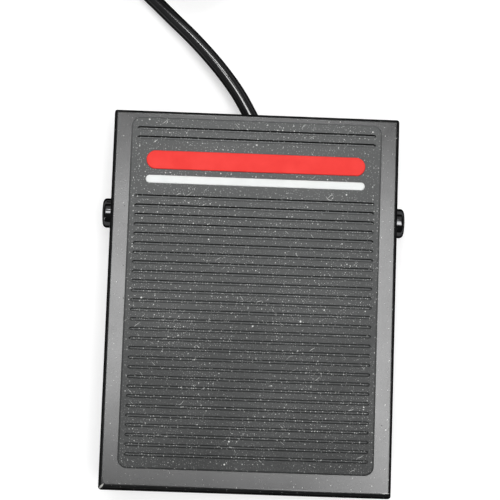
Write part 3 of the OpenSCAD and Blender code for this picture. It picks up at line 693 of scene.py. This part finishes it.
def cover_shell(paint):
    width, length, depth = COVER
    middle = COVER_REAR - length / 2
    outside = (0, middle, COVER_TOP - depth / 2)
    piece = pan_block("cover_shell", COVER, outside, SIDE_FOLD, SIDE_FOLD, TOE_FOLD, SIDE_FOLD)
    dress_mitres(piece)
    inside = (width - 2 * SHEET, length - 2 * SHEET, depth)
    crease = 0.1
    hollow_middle = (0, middle, COVER_TOP - SHEET - depth / 2)
    hollow = pan_block("hollow", inside, hollow_middle, crease, crease, TOE_FOLD - SHEET, crease)
    carve(piece, hollow)
    sleeve_hole = 3.05
    carve(piece, rod("hinge_hole", sleeve_hole, DRILL, (0, 0, 0), "X"))
    arch, springing, drop = 6, -6.1, 12
    notch = rod("cord_notch", arch, 6, (0, COVER_REAR, springing), "Y")
    open_mesh(notch)
    pick(notch, "VERT", lambda v: v.co.z / MM < springing - 0.01)
    bpy.ops.transform.translate(value=(0, 0, -drop * MM))
    close_mesh()
    carve(piece, notch)
    soften(piece, 0.15, 60)
    smooth(piece)
    seat_on_cover(piece)
    finished(piece, "pedal", ["pedal_cover"], paint)


def tread_groove(along):
    """Cutter with round ends and sloping sides, narrow at the groove's floor."""
    length, width, depth = GROOVE
    flare = width - GROOVE_FLOOR
    top = (length + flare, width + flare)
    tool = oblong("groove", *top, 2 * depth, (0, along, TREAD_TOP))
    open_mesh(tool)
    pick(tool, "VERT", lambda v: v.co.z / MM < TREAD_TOP)
    bpy.ops.transform.resize(
        value=((length - flare) / top[0], GROOVE_FLOOR / top[1], 1),
        center_override=(0, along * MM, TREAD_TOP * MM),
    )
    close_mesh()
    return tool


def tread_pad(rubber):
    length, thickness = TREAD[1:]
    corner, edge = 2.5, 0.5
    middle = TREAD_REAR - length / 2
    piece = block("tread_pad", TREAD, (0, middle, TREAD_TOP - thickness / 2))
    open_mesh(piece)
    pick(piece, "EDGE", upright)
    bpy.ops.mesh.bevel(offset=corner * MM, segments=10, affect="EDGES")
    pick(piece, "EDGE", lambda e: level(e, TREAD_TOP))
    bpy.ops.mesh.bevel(offset=edge * MM, segments=4, affect="EDGES")
    close_mesh()
    backs = [first + RIB_PITCH * i for first, count in GROOVE_GROUPS for i in range(count)]
    carve(piece, join([tread_groove(TREAD_REAR - back - GROOVE[1] / 2) for back in backs]))
    pockets = [oblong("pocket", BAND_LENGTH, wide, 2 * BAND_SUNK, (0, along, TREAD_TOP))
               for wide, along in (RED_BAND, WHITE_BAND)]
    carve(piece, join(pockets))
    soften(piece, 0.12, 60)
    smooth(piece)
    seat_on_cover(piece)
    finished(piece, "pedal", ["tread_mat"], rubber)


def tread_band(name, band, node, material):
    width, along = band
    play, edge = 0.04, 0.3
    middle = (0, along, TREAD_TOP + (BAND_PROUD - BAND_SUNK) / 2)
    piece = oblong(name, BAND_LENGTH - play, width - play, BAND_SUNK + BAND_PROUD, middle, sides=40)
    open_mesh(piece)
    pick(piece, "EDGE", lambda e: level(e, TREAD_TOP + BAND_PROUD))
    bpy.ops.mesh.bevel(offset=edge * MM, segments=4, affect="EDGES")
    close_mesh()
    smooth(piece)
    seat_on_cover(piece)
    finished(piece, "pedal", [node], material)


# Hinge screws

def hinge_screw(name, side):
    """Pan head with a cross recess, its shank through the sleeve and the nut."""
    head, rise, curl = 4, 2.4, 1.0
    shank, reach = 2, 6.8
    recess, taper = (4.6, 1.1, 3.2), (0.55, 0.8, 1)
    rounding = [(head - curl + curl * math.cos(a), rise - curl + curl * math.sin(a))
                for a in (math.radians(15 * i) for i in range(6))]
    profile = [(0, -reach), (shank - 0.4, -reach), (shank, 0.4 - reach), (shank, 0)]
    profile += [(head - 0.15, 0), (head, 0.15)]
    profile += rounding + [(head - curl - 0.1, rise - 0.01), (1.2, rise), (0, rise)]
    piece = turned(name, profile, 64)
    for turn in (0, math.pi / 2):
        bit = block("cross_bit", recess, (0, 0, rise))
        open_mesh(bit)
        pick(bit, "VERT", lambda v: v.co.z / MM < rise)
        bpy.ops.transform.resize(value=taper)
        close_mesh()
        bit.rotation_euler = (0, 0, turn)
        settle(bit)
        carve(piece, bit)
    soften(piece, 0.08, 50)
    smooth(piece)
    lay(piece, (side * SCREW_X, HINGE_Y, HINGE_Z), side)
    return piece


# Cord

def coil_point(turn):
    """A point on the coil, which spirals in and out, one layer on the other."""
    around = math.radians(COIL_START - 360 * turn)
    since_outer = turn % (2 * LAYER_TURNS)
    inward = min(since_outer, 2 * LAYER_TURNS - since_outer)
    if turn >= LAYERS * LAYER_TURNS:
        inward = LAYERS * LAYER_TURNS - turn
    rise = 0
    for layer in range(1, LAYERS):
        u = min(max((turn - LAYER_TURNS * layer + 0.25) * 2, 0), 1)
        rise += u * u * (3 - 2 * u)
    radius = COIL_OUTER - COIL_PITCH * inward
    return Vector((COIL[0] + radius * math.cos(around), COIL[1] + radius * math.sin(around),
                   COIL[2] + COIL_PITCH * rise))


def coil_way(turn):
    """Which way the cord runs at a point on the coil."""
    around = math.radians(COIL_START - 360 * turn)
    return Vector((math.sin(around), -math.cos(around), 0))


def through(points, steps):
    """A smooth line that passes through each point."""
    line = []
    last = len(points) - 1
    for i in range(last):
        b, c = points[i], points[i + 1]
        a = points[i - 1] if i else 2 * b - c
        d = points[i + 2] if i < last - 1 else 2 * c - b
        for k in range(steps):
            u = k / steps
            line.append(0.5 * (2 * b + (c - a) * u + (2 * a - 5 * b + 4 * c - d) * u * u
                               + (3 * b - a - 3 * c + d) * u ** 3))
    return line + [points[-1]]


def cord_line():
    """From the grommet to the coil, round it, and on to the plug."""
    start, end = coil_way(0), coil_way(COIL_TURNS)
    entry = coil_point(0) - CORD * start
    leave = coil_point(COIL_TURNS) + CORD * end
    lead = [Vector(p) for p in (
        (3.8, 28, 8.4), (3.8, 30, 8.4), (3.8, 32, 8.4), (3.4, 37.2, 8.4), (2.3, 42.2, 8.4),
        (0.6, 47.2, 8.4), (-2, 52.2, 8.3), (-5.5, 58, 8.1), (-9.6, 63.4, 7.8), (-14.1, 68.5, 7.3),
        (-18.9, 73.4, 6.6), (-24.4, 78.5, 5.7), (-29.6, 83.4, 4.7), (-33.9, 87.3, 3.7),
    )] + [entry - 6 * start, entry - 3 * start, entry]
    tail = [leave, leave + 3 * end, leave + 6 * end] + [Vector(p) for p in (
        (-52.6, 135, 16), (-50, 143, 14), (-45, 150.3, 11), (-38.6, 155.6, 8),
        (-32, 158.5, 5.6), (-29, 158.5, 5.6), PLUG,
    )]
    steps, turn_steps = 6, 40
    turns = [coil_point(i / turn_steps) for i in range(int(COIL_TURNS * turn_steps) + 1)]
    return through(lead, steps)[:-1] + [entry] + turns + through(tail, steps)


def cord_run(jacket):
    points = cord_line()
    piece = wire("cord_run", points, CORD / 2, 5)
    finished(piece, "base", ["cord_lead", "cord_coil", "cord_tail"], jacket)
    length = sum((b - a).length for a, b in zip(points, points[1:])) * MM
    return piece, length


def cord_strap(name, angle):
    """Hook-and-loop strap round one side of the coil."""
    deep, tall, wide, thick = 18.45, 18.05, 6, 0.6
    low, bend = 0.7, 1.4
    reach = COIL_OUTER - COIL_PITCH * LAYER_TURNS / 2
    piece = block(name, (deep, wide, tall), (reach, 0, low + tall / 2))
    open_mesh(piece)
    pick(piece, "FACE", lambda f: abs(f.normal.y) > 0.9)
    bpy.ops.mesh.delete(type="FACE")
    pick(piece, "EDGE", lambda e: abs(e.verts[0].co.y - e.verts[1].co.y) > 0.001)
    bpy.ops.mesh.bevel(offset=bend * MM, segments=6, affect="EDGES")
    close_mesh()
    thicken(piece, thick, outwards=True)
    soften(piece, 0.15, 50)
    smooth(piece)
    piece.location = Vector((COIL[0], COIL[1], 0)) * MM
    piece.rotation_euler = (0, 0, math.radians(angle))
    settle(piece)
    return piece


# Plug, turned along X from the cord's end

def plug_pieces():
    x, y, z = PLUG
    boot = turned("boot", [
        (0, 0), (2.8, 0), (3, 0.2), (3.25, 2.4), (2.4, 2.5), (2.4, 3.9), (3.4, 4.0), (3.55, 5.8),
        (2.4, 5.9), (2.4, 7.3), (3.65, 7.4), (3.85, 9.2), (2.4, 9.3), (2.4, 10.7), (3.95, 10.8),
        (4.5, BOOT), (0, BOOT),
    ])
    grip = turned("grip", [
        (0, 0), (5.0, 0), (5.4, 0.15), (GRIP_RADIUS, 0.5), (GRIP_RADIUS, 26.8), (5.34, 27.4),
        (4.9, 27.84), (4.3, GRIP), (0, GRIP),
    ], 64)
    groove, first, pitch = (1, 12, 1.6), 6.8, 3.2
    for i in range(5):
        for side in (-1, 1):
            carve(grip, block("finger_groove", groove, (side * GRIP_RADIUS, 0, first + pitch * i)))
    soften(grip, 0.12, 50)
    barrel = turned("barrel", [
        (0, 0), (3.175, 0), (3.175, BARREL - 0.2), (3.0, BARREL), (0, BARREL),
    ], 64)
    collar = turned("collar", [
        (0, 0), (2.6, 0), (2.675, 0.1), (2.675, COLLAR - 0.1), (2.6, COLLAR), (0, COLLAR),
    ])
    tip = turned("tip", [
        (0, 0), (2.6, 0), (2.675, 0.1), (2.675, 0.9), (2.3, 1.7), (2.175, 2.1), (2.175, 2.8),
        (2.6, 3.65), (2.98, 4.3), (3.05, 4.5), (2.98, 4.7), (1.1, 6.85), (0.85, 7.15), (0.5, 7.28),
        (0, TIP),
    ], 64)
    for piece, length in ((boot, BOOT), (grip, GRIP), (barrel, BARREL), (collar, COLLAR), (tip, TIP)):
        smooth(piece, 40)
        lay(piece, (x, y, z))
        x += length
    return boot, grip, barrel, collar, tip


# Tray and sole

def tray_slab(name, length, middle, height):
    """Wider than the tray, from under the floor up to a height."""
    under = 1
    return block(name, (SLAB, length, height + under), (0, middle, (height - under) / 2))


def pan_tray(paint):
    length = TRAY_REAR - TRAY_FRONT
    middle = (TRAY_REAR + TRAY_FRONT) / 2
    top = 22
    piece = block("pan_tray", (TRAY_WIDTH, length, top - SOLE), (0, middle, (top + SOLE) / 2))
    open_mesh(piece)
    pick(piece, "EDGE", lambda e: upright(e) or level(e, SOLE))
    bpy.ops.mesh.bevel(offset=TRAY_FOLD * MM, segments=6, affect="EDGES")
    pick(piece, "FACE", lambda f: f.normal.z > 0.9)
    bpy.ops.mesh.delete(type="FACE")
    close_mesh()
    thicken(piece, SHEET)
    walls = [
        tray_slab("side_walls", length + 2, middle, TRAY_SIDES),
        tray_slab("front_wall", 6, TRAY_FRONT + 2, TRAY_FRONT_WALL),
        tray_slab("rear_wall", 6, TRAY_REAR - 2, TRAY_REAR_WALL),
        tray_slab("ears", 2 * EAR, HINGE_Y, HINGE_Z),
        rod("ear_rounds", EAR, SLAB, (0, HINGE_Y, HINGE_Z), "X", 64),
    ]
    carve(piece, join(walls), "INTERSECT", overlapping=True)
    screw_hole, cord_hole, cord_height = 2.1, (10.6, 7.6, 8), 8.9
    holes = [rod("hinge_hole", screw_hole, DRILL, (0, HINGE_Y, HINGE_Z), "X")]
    slot = oblong("cord_hole", *cord_hole, (0, 0, 0))
    slot.location = Vector((0, TRAY_REAR, cord_height)) * MM
    slot.rotation_euler = (math.pi / 2, 0, 0)
    settle(slot)
    holes.append(slot)
    buffers, rivets, saddle = HINGE_Y - 62, HINGE_Y - 26.1, 25
    for r, places in (
        (2.02, [(0, SPRING_Y)]),
        (2.52, [(-24, buffers), (24, buffers)]),
        (1.52, [(-10.4, rivets - 5), (-10.4, rivets + 5), (-3.7, saddle), (11.3, saddle)]),
    ):
        holes += [rod("floor_hole", r, 6, (x, y, SOLE + SHEET / 2), sides=32) for x, y in places]
    carve(piece, join(holes))
    soften(piece, 0.15, 60)
    smooth(piece)
    finished(piece, "base", ["base_tray"], paint)


def floor_sole(rubber):
    margin, corner = TRAY_FOLD + 0.3, 4
    width = TRAY_WIDTH - 2 * margin
    length = TRAY_REAR - TRAY_FRONT - 2 * margin
    middle = (TRAY_REAR + TRAY_FRONT) / 2
    piece = block("floor_sole", (width, length, SOLE), (0, middle, SOLE / 2))
    open_mesh(piece)
    pick(piece, "EDGE", upright)
    bpy.ops.mesh.bevel(offset=corner * MM, segments=10, affect="EDGES")
    close_mesh()
    count, pitch, wide, deep = 10, 7, 2, 0.8
    places = [middle + (i - (count - 1) / 2) * pitch for i in range(count)]
    grooves = [oblong("sole_groove", TRAY_WIDTH - 16, wide, 2 * deep, (0, y, 0)) for y in places]
    carve(piece, join(grooves))
    soften(piece, 0.2, 60)
    smooth(piece)
    finished(piece, "base", ["sole_pad"], rubber)


# Return spring: closed end turns, open turns between

def return_coil(steel):
    low = SPRING_FOOT + SPRING_WIRE / 2
    high = SPRING_FOOT + SPRING_HEIGHT - SPRING_WIRE / 2
    turns, closed, steps = 7.5, 1.0, 24
    lift = SPRING_WIRE + 0.02
    points = []
    for i in range(int(turns * steps) + 1):
        turn = i / steps
        open_share = min(max((turn - closed) / (turns - 2 * closed), 0), 1)
        rise = lift * (min(turn, closed) + max(turn - turns + closed, 0))
        height = low + rise + open_share * (high - low - 2 * lift * closed)
        around = 2 * math.pi * turn
        points.append(Vector((SPRING_RADIUS * math.cos(around),
                              SPRING_Y + SPRING_RADIUS * math.sin(around), height)))
    piece = wire("return_coil", points, SPRING_WIRE / 2, 3)
    choose(piece)
    bpy.ops.object.convert(target="MESH")
    piece = bpy.context.active_object
    bpy.ops.object.shade_smooth()
    finished(piece, "base", ["return_spring"], steel)
    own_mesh(piece)


# Floor and light, in metres

def white_floor():
    """Matt white that stays white for the eye and for gloss away from the lamps."""
    made = bpy.data.materials.new("white_floor")
    made.use_nodes = True
    made.node_tree.nodes.clear()
    out = add(made, "OutputMaterial")
    matt = add(made, "BsdfDiffuse", {"Color": (0.6, 0.6, 0.6, 1)})
    glow = add(made, "Emission", {"Color": (1, 1, 1, 1)})
    rays = add(made, "LightPath")
    seen = most(made, most(made, rays.outputs["Is Camera Ray"], rays.outputs["Is Glossy Ray"]),
                rays.outputs["Is Transmission Ray"])
    away = add(made, "VectorMath", operation="LENGTH")
    link(made, add(made, "TexCoord").outputs["Object"], away.inputs[0])
    fill = ramp(made, away.outputs["Value"], 0.3, 1.8, 0.5, 0.98)
    link(made, times(made, seen, fill), glow.inputs["Strength"])
    both = add(made, "AddShader")
    link(made, matt.outputs[0], both.inputs[0])
    link(made, glow.outputs[0], both.inputs[1])
    link(made, both.outputs[0], out.inputs["Surface"])
    return made


def floor_sheet(made):
    bpy.ops.object.select_all(action="DESELECT")
    bpy.ops.mesh.primitive_plane_add(size=14)
    sheet = bpy.context.active_object
    sheet.name = "floor_sheet"
    sheet.data.materials.append(made)


def backdrop(made):
    """Low wall round the floor, so that no dark edge shows behind the part."""
    bpy.ops.object.select_all(action="DESELECT")
    height = 1.4
    bpy.ops.mesh.primitive_cylinder_add(
        vertices=96, radius=6, depth=height, end_fill_type="NOTHING", location=(0, 0, height / 2),
    )
    wall = bpy.context.active_object
    wall.name = "backdrop"
    settle(wall)
    wall.data.materials.append(made)


def softbox(name, place, size, brightness, turn=0.0):
    """Lamp that looks at the origin and shows a brightness, whatever its size."""
    lamp = bpy.data.lights.new(name, "AREA")
    lamp.shape = "RECTANGLE"
    lamp.size, lamp.size_y = size
    lamp.energy = brightness * 4 * size[0] * size[1]
    light = bpy.data.objects.new(name, lamp)
    bpy.context.scene.collection.objects.link(light)
    light.location = place
    aim = Vector(place).to_track_quat("Z", "Y").to_matrix()
    light.rotation_euler = (aim @ Matrix.Rotation(turn, 3, "Z")).to_euler()


def studio_world():
    """Soft light from overhead that fades to a dark room at the horizon."""
    world = bpy.data.worlds.new("studio")
    bpy.context.scene.world = world
    world.use_nodes = True
    tree = world.node_tree
    back = tree.nodes["Background"]
    back.inputs["Color"].default_value = (1, 1, 1, 1)
    place = tree.nodes.new("ShaderNodeTexCoord")
    axes = tree.nodes.new("ShaderNodeSeparateXYZ")
    tree.links.new(place.outputs["Generated"], axes.inputs[0])
    height = tree.nodes.new("ShaderNodeMapRange")
    for socket, value in ((1, 0.0), (2, 1.0), (3, 0.02), (4, 0.16)):
        height.inputs[socket].default_value = value
    tree.links.new(axes.outputs["Z"], height.inputs[0])
    tree.links.new(height.outputs[0], back.inputs["Strength"])


photo_camera()
floor_white = white_floor()
floor_sheet(floor_white)
backdrop(floor_white)
studio_world()
softbox("main_softbox", (0.0, 0.145, 1.0), (0.46, 0.285), 9.6, math.radians(1))
softbox("right_softbox", (0.25, -0.08, 1.0), (0.24, 0.26), 8.8)
softbox("rear_softbox", (0, 0.9, 1.1), (1.0, 0.8), 0.5)
softbox("rear_strip", (0.0, 0.52, 1.0), (0.36, 0.08), 18)
softbox("corner_strip", (-0.55, -0.55, 0.5), (0.06, 0.35), 14)

paint = satin_paint()
tread = tread_rubber()
rubber = plain_rubber()
red = inlay("red_inlay", (0.88, 0.050, 0.042), (0.82, 0.042, 0.036))
white = inlay("white_inlay", (0.84, 0.86, 0.85), (0.78, 0.80, 0.79))
screw_black = black_zinc()
zinc = metal("zinc_plate", (0.66, 0.67, 0.69), (0.52, 0.53, 0.54), 0.28, 0.42)
spring_wire = metal("spring_wire", (0.58, 0.58, 0.59), (0.42, 0.42, 0.43), 0.25, 0.4)
brass = metal("brass_turned", (0.72, 0.55, 0.26), (0.58, 0.42, 0.18), 0.22, 0.36)
nickel = metal("nickel_plate", (0.78, 0.77, 0.74), (0.66, 0.65, 0.62), 0.1, 0.2)
nylon = moulding("white_nylon", (0.72, 0.71, 0.66), (0.64, 0.63, 0.57), 0.42, 0.55)
switch_black = moulding("switch_black", (0.02, 0.02, 0.021), (0.032, 0.032, 0.033), 0.42, 0.55)
plunger_red = moulding("plunger_red", (0.70, 0.05, 0.04), (0.58, 0.04, 0.035), 0.3, 0.42)
grip_black = moulding("grip_black", (0.014, 0.014, 0.015), (0.026, 0.026, 0.027), 0.32, 0.45)
jacket = cord_jacket()
pile = strap_pile()
wire_red = moulding("wire_red", (0.62, 0.04, 0.03), (0.5, 0.03, 0.025), 0.35, 0.45)

cord, cord_length = cord_run(jacket)
straps = [cord_strap("strap_right", -20), cord_strap("strap_rear", 110)]
for strap in straps:
    finished(strap, "base", ["cord_ties"], pile)
boot, grip, barrel, collar, tip = plug_pieces()
for piece, node, slot, material in (
    (boot, "plug_boot", "cord_jacket", grip_black), (grip, "plug_handle", "cord_jacket", grip_black),
    (barrel, "plug_sleeve", "plug_metal", nickel), (collar, "plug_ring", "plug_insulator", switch_black),
    (tip, "plug_tip", "plug_metal", nickel),
):
    finished(piece, "base", [node], material)

cover_shell(paint)
tread_pad(tread)
tread_band("red_band", RED_BAND, "red_stripe", red)
tread_band("white_band", WHITE_BAND, "white_stripe", white)
for side, name in ((-1, "hinge_screw_left"), (1, "hinge_screw_right")):
    finished(hinge_screw(name, side), "base", ["pivot_screws"], screw_black)
pan_tray(paint)
floor_sole(rubber)
return_coil(spring_wire)

dress = {
    "spring_cup": zinc, "striker": nylon, "pivot_sleeves": brass, "weld_nuts": zinc, "spring_seat": nylon,
    "press_buffers": rubber, "return_stop": rubber, "switch_case": switch_black, "switch_cap": switch_black,
    "switch_lever": zinc, "lever_pin": zinc, "switch_plunger": plunger_red, "switch_terminals": brass,
    "switch_bracket": zinc, "switch_screws": zinc, "switch_nuts": zinc, "bracket_rivets": zinc,
    "cord_saddle": nylon, "saddle_screws": zinc, "cord_grommet": rubber, "cord_entry": jacket,
    "core_wires": wire_red,
}
for name, material in dress.items():
    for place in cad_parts[name].material_slots:
        place.material = material

bpy.context.scene.view_settings.view_transform = "Standard"
